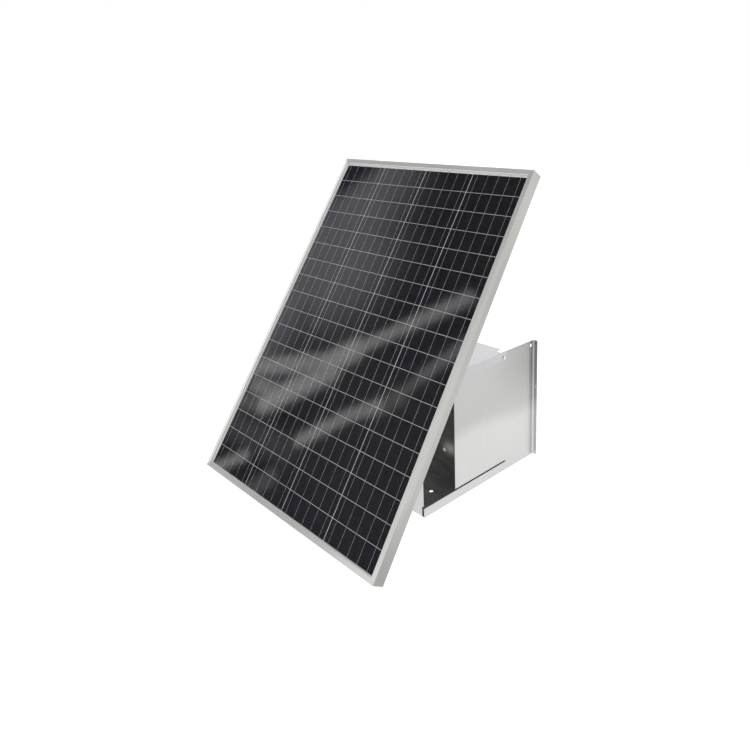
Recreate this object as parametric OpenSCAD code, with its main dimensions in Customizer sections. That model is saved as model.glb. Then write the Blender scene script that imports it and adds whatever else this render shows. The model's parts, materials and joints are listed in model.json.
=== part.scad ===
// Solar fence energizer station: a folded sheet-steel housing that carries a
// tilted solar module on its hinged lid, with the energizer, the charge
// controller and the battery behind an upright partition.
// +X is to the right seen from the module's side, +Y runs from the module to
// the open back, +Z is up. The origin is the centre of the footprint.

/* [Solar module] */
// Width of the module across the cells
panel_w = 670; // [640:5:720]
// Length of the module up the slope
panel_l = 904; // [898:2:940]
// Depth of the module's frame
panel_t = 30; // [28:1:35]
// Tilt of the module from the horizontal
panel_tilt = 56.8; // [54:0.2:58]
// How far the module's lower back edge stands in front of the housing
foot_reach = 215; // [214:1:250]
// Height of the module's lower back edge above the ground
foot_z = 3; // [2:1:40]
// Columns of cells
cell_cols = 4; // [3:1:4]
// Rows of cells
cell_rows = 18; // [10:1:18]
// Distance from one column of cells to the next
cell_pitch_x = 160; // [150:1:160]
// Distance from one row of cells to the next
cell_pitch_y = 48.5; // [46:0.1:48.5]
// White margin and frame below the lowest row of cells
cell_foot = 13; // [12:0.5:16]

/* [Housing] */
// Width over the side walls
box_w = 456; // [440:2:470]
// Depth from the front plate to the back of the wings
box_d = 404; // [396:2:430]
// Height of the side walls
wall_h = 320; // [318:0.5:325]
// Depth at which the side walls begin
wall_front = 102; // [90:1:120]
// Height of the floor's side lips
lip_h = 22.5; // [20:0.5:30]
// Depth at which the slot above the side lip ends
slot_end = 288; // [270:1:300]
// Height of the slot above the side lip
slot_h = 4.5; // [2:0.5:6]
// How far the rear wings stand out from the side walls
wing_w = 12; // [11:1:20]
// Bend radius of the rear wings
wing_bend = 5; // [3:0.5:6]
// Thickness of the sheet steel
sheet_t = 1.5; // [1:0.1:2]
// Depth of the partition's front face
partition_y = 150; // [146:1:152]

/* [Lid] */
// Depth of the lid's rear edge
lid_rear = 288; // [286:1:290]
// Height of the lid's turned-down edges
lid_flange = 22; // [20:1:24]
// Depth of the lid's pivots
pivot_y = 280; // [278:1:281]
// Height of the lid's pivots
pivot_z = 306; // [304:1:307]
// Half the distance between the module's brackets
bracket_x = 110; // [80:1:110]

/* [Equipment] */
// Width of the battery
battery_w = 190; // [150:1:190]
// Depth of the battery
battery_d = 130; // [100:1:130]
// Height of the battery's case
battery_h = 140; // [100:1:140]
// Width of the energizer
energizer_w = 180; // [176:1:184]
// Height of the energizer
energizer_h = 190; // [186:1:190]
// Depth of the energizer's back shell
shell_d = 35; // [32:1:36]
// Depth of the energizer's cover
cover_d = 40; // [38:1:42]

/* [Hidden] */
$fn = 48;
eps = 0.01;

half_w = box_w / 2;
inner_w = half_w - sheet_t;
back_y = box_d - sheet_t - wing_bend;
front_reach = foot_reach + panel_t * sin(panel_tilt);
origin_y = (front_reach - box_d) / 2;

floor_hole_r = 5;
floor_hole_x = 162;
floor_hole_y = [86, 362];
wing_hole_r = 1.5;
wing_hole_x = half_w + 8.5;
wing_hole_z = 193;
hang_hole_r = 4.5;
hang_hole_y = back_y - 5.5;
hang_hole_z = wall_h - 12.5;
pass_hole_x = 145;
pass_hole_z = 80;
front_step = 6;

pin_r = 3;
pin_fit = 0.06;
lid_gap = 0.5;
lid_z = wall_h + lid_gap;
lid_top = lid_z + sheet_t;
lid_front = -3.5;
lid_half = half_w + lid_gap + sheet_t;
notch_x = half_w - 17;
notch_y = pivot_y - 10;

rail_v = [430, 680];
rail_h = 40;
rail_end = 16;
bracket_t = 2;
bracket_flange = 30;
bracket_bolt_x = bracket_x + 15;
bracket_y = [12, 215];
bracket_v = [410, 700];
foot_bolt_y = [40, 185];
m6_r = 3;
m6_clear = 3.3;
m6_head = 5.7;

lip_w = 11;
return_w = 28;
web_t = 1.8;
laminate_q = 23.9;
glass_q = 25.1;
glass_t = 3.2;
cell_t = 0.3;
cell_gap = [1.8, 1.3];
ribbon_w = 0.8;
ribbons = 5;
field_w = cell_cols * cell_pitch_x;
field_l = cell_rows * cell_pitch_y;
jb_v = 820;

unit_x = 118;
unit_z = 205;
unit_y = partition_y + sheet_t + 0.5;
joint_y = unit_y + shell_d;
gasket_t = 2;
cover_y = joint_y + gasket_t;
face_y = cover_y + cover_d;
shell_t = 3;
screw_dx = energizer_w / 2 - 14;
screw_dz = energizer_h / 2 - 14;
knob_z = unit_z + 35;
stud_dx = 45;
stud_z = unit_z - 55;
stud_r = 3;
board_y = unit_y + shell_t + 8;

ctrl_x = -125;
ctrl_z = 258;
ctrl_w = 130;
ctrl_h = 90;
ctrl_y = partition_y + sheet_t;
ctrl_base_d = 12;
ctrl_cover_d = 22;
ctrl_face = ctrl_y + ctrl_base_d + ctrl_cover_d;
button_z = ctrl_z - 28;
button_dx = 20;
button_r = 5;
block_w = 100;
block_z = ctrl_z - ctrl_h / 2 - 15;
poles = 6;

batt_x = -112;
batt_y = partition_y + 42;
batt_z = 2 * sheet_t;
batt_top = batt_z + battery_h;
batt_lid_h = 15;
post_dx = 75;
post_y = batt_y + 20;
handle_y = batt_y + battery_d / 2;
handle_z = batt_top + 8;
handle_reach = 82;
handle_pin_r = 4;
lead_r = 2.5;

// routes of the inside leads, from the terminal block to where each ends
route_red = [[-165, 160, 198], [-165, 160, 190], [-172, 168, 182], [-182, 184, 174], [-187, 198, 170.2]];
route_black = [[-85, 160, 198], [-85, 160, 190], [-72, 168, 182], [-50, 184, 174], [-37, 198, 170.2]];
route_supply = [[-101, 160, 198], [-101, 162, 186], [-85, 166, 176], [-40, 168, 170], [5, 170, 174],
    [18, 170, 186], [31, 170, 200]];

// ---- shared shapes -------------------------------------------------------

module placed() {
    translate([0, origin_y, 0]) children();
}

// u runs across, v up the slope from the lower edge, w out of the module's back plane
module on_panel() {
    placed() translate([0, -foot_reach, foot_z]) rotate([panel_tilt, 0, 0]) children();
}

module block(low, high) {
    translate(low) cube(high - low);
}

module both_sides() {
    children();
    mirror([1, 0, 0]) children();
}

module round_rect(w, h, r) {
    square([w - 2 * r, h], center = true);
    square([w, h - 2 * r], center = true);
    for (x = [-1, 1])
        for (y = [-1, 1])
            translate([x * (w / 2 - r), y * (h / 2 - r)]) circle(r);
}

// a plate standing in the XZ plane, from depth y to y + t
module upright(x, y, z, w, h, t, r) {
    translate([x, y + t, z]) rotate([90, 0, 0]) linear_extrude(t) round_rect(w, h, r);
}

module rod_y(x, y, z, r, l) {
    translate([x, y, z]) rotate([-90, 0, 0]) cylinder(r = r, h = l);
}

module rod_x(x, y, z, r, l) {
    translate([x, y, z]) rotate([0, 90, 0]) cylinder(r = r, h = l);
}

// hexagon bolt whose head sits on z = 0 and whose shank points down
module hex_bolt(shank) {
    cylinder(r = m6_head, h = 4, $fn = 6);
    translate([0, 0, -shank]) cylinder(r = m6_r, h = shank + 1);
}

// hexagon nut whose top face is at z = 0
module hex_nut() {
    translate([0, 0, -5]) difference() {
        cylinder(r = m6_head, h = 5, $fn = 6);
        translate([0, 0, -1]) cylinder(r = m6_r + 0.02, h = 7);
    }
}

// back plane of the module in the YZ plane, v up the slope and w in front of it
function back_plane(v, w) = [
    -foot_reach + v * cos(panel_tilt) - w * sin(panel_tilt),
    foot_z + v * sin(panel_tilt) + w * cos(panel_tilt)
];

function unit(a) = a / norm(a);
function on_curve(a, b, c, d, t) = 0.5 * (2 * b + (c - a) * t + (2 * a - 5 * b + 4 * c - d) * t * t
    + (3 * b - a - 3 * c + d) * t * t * t);
function smooth(p, k) = [
    for (i = [0:len(p) - 2]) for (j = [0:k - 1])
        on_curve(p[max(i - 1, 0)], p[i], p[i + 1], p[min(i + 2, len(p) - 1)], j / k),
    p[len(p) - 1]
];

// round lead swept along a route
module lead(route) {
    sides = 8;
    path = smooth(route, 4);
    last = len(path) - 1;
    rings = [
        for (i = [0:last])
            let (t = unit(path[min(i + 1, last)] - path[max(i - 1, 0)]))
            let (a = unit(cross(t, [0.3, 1, 0.1])))
            let (b = cross(t, a))
            for (k = [0:sides - 1])
                path[i] + lead_r * (cos(k * 360 / sides) * a + sin(k * 360 / sides) * b)
    ];
    skin = [
        for (i = [0:last - 1]) for (k = [0:sides - 1])
            [i * sides + k, i * sides + (k + 1) % sides,
             (i + 1) * sides + (k + 1) % sides, (i + 1) * sides + k]
    ];
    ends = [[for (k = [sides - 1:-1:0]) k], [for (k = [0:sides - 1]) last * sides + k]];
    placed() polyhedron(points = rings, faces = concat(skin, ends));
}

// ---- housing -------------------------------------------------------------

module side_outline() {
    polygon([[0, 0], [back_y, 0], [back_y, wall_h], [wall_front, wall_h],
        [wall_front, lip_h + slot_h], [slot_end, lip_h + slot_h], [slot_end, lip_h], [0, lip_h]]);
}

module wing() {
    translate([half_w + wing_bend, back_y, 0]) linear_extrude(wall_h) intersection() {
        difference() {
            circle(wing_bend + sheet_t);
            circle(wing_bend);
        }
        translate([-wing_bend - 2 * sheet_t, 0]) square(wing_bend + 2 * sheet_t);
    }
    block([half_w + wing_bend, box_d - sheet_t, 0], [half_w + wing_w, box_d, wall_h]);
}

module housing_shell() {
    color("silver") placed() difference() {
        union() {
            block([-half_w, 0, 0], [half_w, back_y, sheet_t]);
            both_sides() {
                translate([inner_w, 0, 0]) rotate([90, 0, 90]) linear_extrude(sheet_t) side_outline();
                wing();
            }
        }
        for (x = [-1, 1]) {
            for (y = floor_hole_y)
                translate([x * floor_hole_x, y, -1]) cylinder(r = floor_hole_r, h = sheet_t + 2);
            rod_y(x * wing_hole_x, box_d - sheet_t - 1, wing_hole_z, wing_hole_r, sheet_t + 2);
            for (y = [12, partition_y + 13])
                for (k = [1, 3])
                    translate([x * k * 50, y, -1]) cylinder(r = 2.02, h = sheet_t + 2);
        }
        rod_x(-half_w - 1, hang_hole_y, hang_hole_z, hang_hole_r, box_w + 2);
        rod_x(-half_w - 1, pivot_y, pivot_z, pin_r + 0.02, box_w + 2);
    }
}

// upright plate with a foot turned back along the floor
module footed_plate(y, half, top, foot) {
    block([-half, y, sheet_t], [half, y + sheet_t, top]);
    block([-half, y, sheet_t], [half, y + foot, 2 * sheet_t]);
}

module rivet_holes(y) {
    for (x = [-150, -50, 50, 150])
        translate([x, y, 0]) cylinder(r = 2.02, h = 4 * sheet_t);
}

module front_plate() {
    color("silver") placed() difference() {
        union() {
            footed_plate(0, inner_w - 2, wall_h - 4.5, 22);
            block([-inner_w + 2, 0, wall_h - 6], [inner_w - 2, 14, wall_h - 4.5]);
        }
        both_sides() block([inner_w - front_step, -1, -1], [half_w, 30, lip_h + 4]);
        rivet_holes(12);
    }
}

module partition() {
    color("dimgray") placed() difference() {
        union() {
            footed_plate(partition_y, inner_w - 1, wall_h - 4.5, 22);
            block([-inner_w + 1, partition_y, wall_h - 6], [inner_w - 1, partition_y + 14, wall_h - 4.5]);
        }
        both_sides() rod_y(pass_hole_x, partition_y - 1, pass_hole_z, floor_hole_r, 2 * sheet_t);
        rivet_holes(partition_y + 13);
    }
}

module sheet_rivets() {
    color("gainsboro") placed() for (x = [-150, -50, 50, 150])
        for (y = [12, partition_y + 13])
            translate([x, y, 0]) {
                cylinder(r = 2, h = 2 * sheet_t + 0.5);
                translate([0, 0, 2 * sheet_t]) cylinder(r1 = 3.6, r2 = 2.4, h = 1.2);
            }
}

module hinge_pins() {
    color("gainsboro") placed() both_sides() {
        rod_x(half_w - 6, pivot_y, pivot_z, pin_r, 9);
        rod_x(lid_half + 0.4, pivot_y, pivot_z, 4.4, 1.4);
        rod_x(half_w, pivot_y, pivot_z, pin_r, lid_half - half_w + 1);
    }
}

module pin_retainers() {
    color("dimgray") placed() both_sides() difference() {
        rod_x(inner_w - 2, pivot_y, pivot_z, 6.5, 2);
        rod_x(inner_w - 3, pivot_y, pivot_z, pin_r + 0.02, 4);
    }
}

// ---- energizer -----------------------------------------------------------

module corner_rods(r, y, l) {
    for (x = [-1, 1])
        for (z = [-1, 1])
            rod_y(unit_x + x * screw_dx, y, unit_z + z * screw_dz, r, l);
}

module energizer_shell() {
    color("darkslategray") placed() difference() {
        union() {
            difference() {
                upright(unit_x, unit_y, unit_z, energizer_w, energizer_h, shell_d, 12);
                upright(unit_x, unit_y + shell_t, unit_z, energizer_w - 2 * shell_t,
                    energizer_h - 2 * shell_t, shell_d, 9);
            }
            corner_rods(6, unit_y + shell_t - eps, shell_d - shell_t + eps);
            for (x = [-55, 55])
                for (z = [-60, 60])
                    rod_y(unit_x + x, unit_y + shell_t - eps, unit_z + z, 4, 8 + eps);
        }
        corner_rods(2.05, unit_y + 10, shell_d);
        rod_x(unit_x - energizer_w / 2 - 1, route_supply[6][1], route_supply[6][2], lead_r + 0.3, 6);
    }
}

module energizer_gasket() {
    color("black") placed() difference() {
        upright(unit_x, joint_y, unit_z, energizer_w, energizer_h, gasket_t, 12);
        upright(unit_x, joint_y - 1, unit_z, energizer_w - 7, energizer_h - 7, gasket_t + 2, 9);
    }
}

module energizer_cover() {
    color("gold") placed() difference() {
        union() {
            difference() {
                upright(unit_x, cover_y, unit_z, energizer_w, energizer_h, cover_d, 12);
                upright(unit_x, cover_y - 1, unit_z, energizer_w - 2 * shell_t,
                    energizer_h - 2 * shell_t, cover_d - shell_t + 1, 9);
            }
            corner_rods(6, cover_y, cover_d - shell_t + eps);
        }
        corner_rods(2.3, cover_y - 1, cover_d + 2);
        corner_rods(4.6, face_y - 3, 4);
        rod_y(unit_x, face_y - shell_t - 1, knob_z, pin_r + pin_fit, shell_t + 2);
        for (x = [-1, 1])
            rod_y(unit_x + x * stud_dx, face_y - shell_t - 1, stud_z, stud_r + 0.02, shell_t + 2);
        rod_y(unit_x, face_y - shell_t - 1, unit_z - 10, 4.02, shell_t + 2);
    }
}

module energizer_screws() {
    color("silver") placed() {
        corner_rods(2, unit_y + 16, face_y - unit_y - 18);
        corner_rods(4.2, face_y - 3, 2.4);
    }
}

module circuit_board() {
    color("green") placed() upright(unit_x, board_y, unit_z, 132, 150, 1.6, 3);
}

module transformer_core() {
    color("dimgray") placed() difference() {
        block([unit_x - 55, board_y + 1.6, unit_z - 60], [unit_x - 5, board_y + 39, unit_z - 18]);
        block([unit_x - 56, board_y + 8, unit_z - 52], [unit_x - 4, board_y + 32, unit_z - 43]);
        block([unit_x - 56, board_y + 8, unit_z - 35], [unit_x - 4, board_y + 32, unit_z - 26]);
    }
}

module transformer_coil() {
    color("peru") placed() difference() {
        block([unit_x - 51, board_y + 8.4, unit_z - 51.6], [unit_x - 9, board_y + 31.6, unit_z - 26.4]);
        block([unit_x - 52, board_y + 7, unit_z - 43.4], [unit_x - 8, board_y + 33, unit_z - 34.6]);
    }
}

module storage_capacitors() {
    color("steelblue") placed() for (x = [15, 45])
        translate([unit_x + x, board_y + 1.6 + 13, unit_z - 55]) cylinder(r = 13, h = 55);
}

module selector_switch() {
    color("dimgray") placed() difference() {
        union() {
            upright(unit_x, face_y - 22, knob_z, 18, 18, 12, 2);
            rod_y(unit_x, face_y - 10 - eps, knob_z, 5, 7 - 0.05 + eps);
        }
        rod_y(unit_x, face_y - 17, knob_z, pin_r + pin_fit, 20);
    }
}

module selector_knob() {
    color("black") placed() difference() {
        union() {
            rod_y(unit_x, face_y - 16, knob_z, pin_r, 17);
            rod_y(unit_x, face_y + 0.5, knob_z, 17, 5);
            rod_y(unit_x, face_y + 5.4, knob_z, 14, 2);
            block([unit_x - 3.5, face_y + 5.4, knob_z - 13], [unit_x + 3.5, face_y + 14, knob_z + 13]);
        }
        for (a = [0:30:330])
            translate([unit_x, 0, knob_z]) rotate([0, a, 0]) rod_y(18, face_y - 1, 0, 2, 6.5);
    }
}

module status_lens() {
    color("red") placed() {
        rod_y(unit_x, face_y - shell_t - 1, unit_z - 10, 4, shell_t + 1.5);
        rod_y(unit_x, face_y + eps, unit_z - 10, 5.5, 1.2);
    }
}

module terminal_studs() {
    color("gold") placed() for (x = [-1, 1]) {
        rod_y(unit_x + x * stud_dx, face_y - 12, stud_z, stud_r, 32);
        rod_y(unit_x + x * stud_dx, face_y + eps, stud_z, 7, 3);
    }
}

module clamp_knob(x) {
    placed() difference() {
        union() {
            rod_y(x, face_y + 3.6, stud_z, 9.5, 11);
            rod_y(x, face_y + 3.4, stud_z, 6.5, 1);
        }
        rod_y(x, face_y - 1, stud_z, stud_r + pin_fit, 30);
        for (a = [0:45:315])
            translate([x, 0, stud_z]) rotate([0, a, 0]) rod_y(11, face_y + 4.6, 0, 2.4, 12);
    }
}

module fence_knob() {
    color("red") clamp_knob(unit_x - stud_dx);
}

module earth_knob() {
    color("green") clamp_knob(unit_x + stud_dx);
}

// ---- charge controller ---------------------------------------------------

module controller_base() {
    color("dimgray") placed() upright(ctrl_x, ctrl_y, ctrl_z, ctrl_w, ctrl_h, ctrl_base_d, 4);
}

module controller_cover() {
    color("steelblue") placed() difference() {
        upright(ctrl_x, ctrl_y + ctrl_base_d, ctrl_z, ctrl_w, ctrl_h, ctrl_cover_d, 4);
        upright(ctrl_x, ctrl_y + ctrl_base_d - 1, ctrl_z, ctrl_w - 5, ctrl_h - 5, ctrl_cover_d - 1.5, 2);
        upright(ctrl_x, ctrl_face - 1.6, ctrl_z + 12, 60.4, 34.4, 4, 1);
        for (x = [-1, 1])
            rod_y(ctrl_x + x * button_dx, ctrl_face - 5, button_z, button_r + 0.35, 8);
    }
}

module controller_window() {
    color("palegreen") placed() upright(ctrl_x, ctrl_face - 1.5, ctrl_z + 12, 60, 34, 1.4, 1);
}

module push_button(x) {
    placed() {
        rod_y(x, ctrl_face - 9, button_z, button_r, 11);
        rod_y(x, ctrl_face - 9, button_z, button_r + 1.5, 2);
    }
}

module button_left() {
    color("white") push_button(ctrl_x - button_dx);
}

module button_right() {
    color("white") push_button(ctrl_x + button_dx);
}

module terminal_block() {
    color("green") placed() difference() {
        block([ctrl_x - block_w / 2, ctrl_y, block_z], [ctrl_x + block_w / 2, ctrl_y + 18, block_z + 15]);
        for (k = [0:poles - 1])
            rod_y(ctrl_x + (k - (poles - 1) / 2) * 16, ctrl_y + 12, block_z + 9, 3.2, 10);
    }
}

module terminal_screws() {
    color("silver") placed() for (k = [0:poles - 1])
        translate([ctrl_x + (k - (poles - 1) / 2) * 16, 0, block_z + 9]) difference() {
            rod_y(0, ctrl_y + 12, 0, 3, 4);
            block([-4, ctrl_y + 15, -0.5], [4, ctrl_y + 17, 0.5]);
        }
}

// ---- battery -------------------------------------------------------------

module battery_tray() {
    x0 = batt_x - battery_w / 2 - 0.5;
    x1 = batt_x + battery_w / 2 + 0.5;
    color("gray") placed() {
        block([x0, batt_y - 2, sheet_t], [x1, batt_y + battery_d + 2, batt_z]);
        block([x0, batt_y - 2, sheet_t], [x1, batt_y - 0.5, 22]);
        block([x0, batt_y + battery_d + 0.5, sheet_t], [x1, batt_y + battery_d + 2, 22]);
    }
}

module battery_slab(inset, z, h) {
    translate([batt_x, batt_y + battery_d / 2, z]) linear_extrude(h)
        round_rect(battery_w - 2 * inset, battery_d - 2 * inset, 4);
}

module battery_case() {
    color("dimgray") placed() {
        battery_slab(1.5, batt_z, battery_h);
        battery_slab(0, batt_z, 8);
        battery_slab(0, batt_top - 12, 12);
        for (x = [-60:30:60])
            translate([batt_x + x, batt_y + battery_d / 2, batt_z + battery_h / 2])
                cube([5, battery_d, battery_h - 10], center = true);
    }
}

module battery_cover() {
    color("black") placed() {
        battery_slab(0.5, batt_top, batt_lid_h);
        for (x = [-1, 1])
            rod_x(batt_x + x * battery_w / 2 - (x < 0 ? 6 : 1), handle_y, handle_z, handle_pin_r, 7);
    }
}

module battery_posts() {
    color("gray") placed() for (x = [-1, 1])
        translate([batt_x + x * post_dx, post_y, batt_top + batt_lid_h]) difference() {
            cylinder(r = 7, h = 9);
            translate([0, 0, 2]) cylinder(r = 3.02, h = 8);
        }
}

module battery_lugs() {
    color("peru") placed() for (x = [-1, 1])
        translate([batt_x + x * post_dx, post_y, batt_top + batt_lid_h + 9]) difference() {
            union() {
                cylinder(r = 7, h = 1.5);
                block([-4, -10, 0], [4, 0, 1.5]);
                rod_y(0, -14, 3.2, 3.2, 6);
            }
            translate([0, 0, -1]) cylinder(r = 3.2, h = 4);
        }
}

module battery_bolts() {
    color("silver") placed() for (x = [-1, 1])
        translate([batt_x + x * post_dx, post_y, batt_top + batt_lid_h + 10.5]) hex_bolt(8);
}

module battery_handle() {
    arm_x = battery_w / 2 + 0.6;
    color("black") placed() translate([batt_x, handle_y, handle_z]) difference() {
        union() {
            both_sides() {
                block([arm_x, 0, -5], [arm_x + 5, handle_reach, 5]);
                rod_x(arm_x, 0, 0, 8, 5);
            }
            block([-arm_x - 5, handle_reach - 6, -5], [arm_x + 5, handle_reach + 4, 5]);
        }
        rod_x(-arm_x - 6, 0, 0, handle_pin_r + pin_fit, 2 * arm_x + 12);
    }
}

module lead_red() {
    color("red") lead(route_red);
}

module lead_black() {
    color("black") lead(route_black);
}

module lead_supply() {
    color("black") lead(route_supply);
}

// ---- lid and module carrier ----------------------------------------------

module lid() {
    color("whitesmoke") placed() difference() {
        union() {
            block([-lid_half, lid_front, lid_z], [lid_half, lid_rear, lid_top]);
            both_sides() block([half_w + lid_gap, lid_front, lid_top - lid_flange], [lid_half, lid_rear, lid_top]);
            block([-half_w + 2, lid_front, lid_top - lid_flange], [half_w - 2, lid_front + sheet_t, lid_top]);
        }
        both_sides() block([notch_x, notch_y, lid_z - 1], [half_w + lid_gap, lid_rear + 1, lid_top + 1]);
        rod_x(-lid_half - 1, pivot_y, pivot_z, pin_r + pin_fit, 2 * lid_half + 2);
        both_sides() for (y = foot_bolt_y)
            translate([bracket_bolt_x, y, lid_z - 1]) cylinder(r = m6_clear, h = 2 * sheet_t);
    }
}

module bracket() {
    outline = [
        [bracket_y[0], lid_top], [bracket_y[1], lid_top],
        back_plane(bracket_v[1], 1.6), back_plane(bracket_v[0], 1.6)
    ];
    difference() {
        union() {
            placed() translate([bracket_x, 0, 0]) rotate([90, 0, 90]) linear_extrude(bracket_t)
                polygon(outline);
            placed() block([bracket_x, bracket_y[0], lid_top],
                [bracket_x + bracket_flange, bracket_y[1], lid_top + bracket_t]);
            on_panel() block([bracket_x, bracket_v[0], -0.4],
                [bracket_x + bracket_flange, bracket_v[1], 1.6]);
        }
        placed() rod_x(bracket_x - 1, 120, 400, 32, bracket_t + 2);
        placed() for (y = foot_bolt_y)
            translate([bracket_bolt_x, y, lid_top - 1]) cylinder(r = m6_clear, h = 2 * bracket_t);
        on_panel() for (v = rail_v)
            translate([bracket_bolt_x, v, -2]) cylinder(r = m6_clear, h = 6);
    }
}

module bracket_right() {
    color("silver") bracket();
}

module bracket_left() {
    color("silver") mirror([1, 0, 0]) bracket();
}

module lid_bolts() {
    color("gainsboro") placed() both_sides() for (y = foot_bolt_y)
        translate([bracket_bolt_x, y, lid_top + bracket_t]) hex_bolt(12);
}

module lid_nuts() {
    color("gainsboro") placed() both_sides() for (y = foot_bolt_y)
        translate([bracket_bolt_x, y, lid_z]) hex_nut();
}

module cross_rail(v) {
    end = panel_w / 2 - 4;
    color("silver") on_panel() difference() {
        union() {
            block([-end, v - rail_h / 2, 1.6], [end, v + rail_h / 2, 3.1]);
            for (s = [-1, 1])
                translate([0, v + s * (rail_h / 2 - 0.75), 6.3])
                    cube([panel_w - 2 * lip_w - 4, 1.5, 9.4], center = true);
        }
        both_sides() for (x = [bracket_bolt_x, panel_w / 2 - rail_end])
            translate([x, v, 0]) cylinder(r = m6_clear, h = 6);
    }
}

module rail_lower() {
    cross_rail(rail_v[0]);
}

module rail_upper() {
    cross_rail(rail_v[1]);
}

module at_rail_bolts() {
    on_panel() both_sides() for (v = rail_v) {
        translate([bracket_bolt_x, v, -0.4]) children(0);
        translate([panel_w / 2 - rail_end, v, 0]) children(0);
    }
}

module rail_bolts() {
    color("gainsboro") at_rail_bolts() rotate([180, 0, 0]) hex_bolt(10);
}

module rail_nuts() {
    color("gainsboro") on_panel() both_sides() for (v = rail_v)
        for (x = [bracket_bolt_x, panel_w / 2 - rail_end])
            translate([x, v, 8.1]) hex_nut();
}

// ---- solar module --------------------------------------------------------

// section of the frame: p inward from the outer face, q up from the back plane
module frame_section() {
    square([web_t, panel_t]);
    square([return_w, 1.6]);
    translate([0, 11]) square([10, 1.4]);
    translate([8.6, 11]) square([1.4, laminate_q - 11.1]);
    translate([0, laminate_q - 1.5]) square([10, 1.4]);
    translate([0, panel_t - 1.6]) square([lip_w, 1.6]);
}

// mitred rail along X, centred, with its outer face at y = 0
module rail(length) {
    difference() {
        rotate([90, 0, 90]) linear_extrude(length, center = true) frame_section();
        both_sides() translate([length / 2 - 0.05, 0, -1]) rotate([0, 0, 45])
            translate([0, -60, 0]) cube([120, 120, panel_t + 2]);
    }
}

module frame_bottom() {
    color("lightgray") on_panel() rail(panel_w);
}

module frame_top() {
    color("lightgray") on_panel() translate([0, panel_l, 0]) rotate([0, 0, 180]) rail(panel_w);
}

module side_rail() {
    difference() {
        translate([panel_w / 2, panel_l / 2, 0]) rotate([0, 0, 90]) rail(panel_l);
        for (v = rail_v)
            translate([panel_w / 2 - rail_end, v, -1]) cylinder(r = m6_clear, h = 4);
    }
}

module frame_right() {
    color("lightgray") on_panel() side_rail();
}

module frame_left() {
    color("lightgray") on_panel() mirror([1, 0, 0]) side_rail();
}

module corner_key() {
    block([2, 2, 12.6], [45, 8.4, laminate_q - 1.7]);
    block([2, 2, 12.6], [8.4, 45, laminate_q - 1.7]);
}

module corner_keys() {
    color("gray") on_panel() both_sides() {
        translate([-panel_w / 2, 0, 0]) corner_key();
        translate([-panel_w / 2, panel_l, 0]) mirror([0, 1, 0]) corner_key();
    }
}

module laminate_layer(edge, q, t) {
    on_panel() block([-panel_w / 2 + edge, edge, q], [panel_w / 2 - edge, panel_l - edge, q + t]);
}

module glass() {
    color("lightblue", 0.35) laminate_layer(2.2, glass_q, glass_t);
}

module backsheet() {
    color("white") laminate_layer(2.2, laminate_q, 0.5);
}

module solar_cells() {
    color("midnightblue") on_panel() for (i = [0:cell_cols - 1])
        for (j = [0:cell_rows - 1])
            translate([-field_w / 2 + i * cell_pitch_x, cell_foot + j * cell_pitch_y, glass_q - 0.6])
                block([cell_gap.x / 2, cell_gap.y / 2, 0],
                    [cell_pitch_x - cell_gap.x / 2, cell_pitch_y - cell_gap.y / 2, cell_t]);
}

module cell_ribbons() {
    color("lightgray") on_panel() for (i = [0:cell_cols - 1])
        for (k = [0:ribbons - 1])
            translate([-field_w / 2 + (i + (k + 0.5) / ribbons) * cell_pitch_x - ribbon_w / 2,
                cell_foot, glass_q - 0.25])
                cube([ribbon_w, field_l, 0.2]);
}

module junction_box() {
    color("black") on_panel() difference() {
        translate([0, jb_v, 3]) linear_extrude(laminate_q - 3.1) round_rect(120, 80, 5);
        translate([0, jb_v, 2]) linear_extrude(laminate_q - 5) round_rect(114, 74, 3);
        for (x = [-35, 35])
            translate([x, jb_v - 45, 13]) rotate([-90, 0, 0]) cylinder(r = 6.02, h = 12);
    }
}

module junction_lid() {
    color("black") on_panel() {
        translate([0, jb_v, 0.8]) linear_extrude(2.2) round_rect(124, 84, 6);
        translate([0, jb_v, 3]) linear_extrude(1.5) round_rect(113.4, 73.4, 3);
    }
}

module cable_glands() {
    color("dimgray") on_panel() for (x = [-35, 35])
        translate([x, jb_v - 58, 13]) rotate([-90, 0, 0]) difference() {
            union() {
                cylinder(r = 8, h = 14, $fn = 6);
                translate([0, 0, 13]) cylinder(r = 8.5, h = 4.9);
                translate([0, 0, 13]) cylinder(r = 6, h = 9);
            }
            translate([0, 0, -1]) cylinder(r = 2.6, h = 24);
        }
}

housing_shell();
front_plate();
partition();
sheet_rivets();
hinge_pins();
pin_retainers();
energizer_shell();
energizer_gasket();
energizer_cover();
energizer_screws();
circuit_board();
transformer_core();
transformer_coil();
storage_capacitors();
selector_switch();
selector_knob();
status_lens();
terminal_studs();
fence_knob();
earth_knob();
controller_base();
controller_cover();
controller_window();
button_left();
button_right();
terminal_block();
terminal_screws();
battery_tray();
battery_case();
battery_cover();
battery_posts();
battery_lugs();
battery_bolts();
battery_handle();
lead_red();
lead_black();
lead_supply();
lid();
bracket_left();
bracket_right();
lid_bolts();
lid_nuts();
rail_upper();
rail_lower();
rail_bolts();
rail_nuts();
frame_left();
frame_right();
frame_top();
frame_bottom();
corner_keys();
glass();
solar_cells();
cell_ribbons();
backsheet();
junction_box();
junction_lid();
cable_glands();
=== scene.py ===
"""Solar fence energizer station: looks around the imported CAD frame. Metres, CAD axes."""

import json
import math

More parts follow.
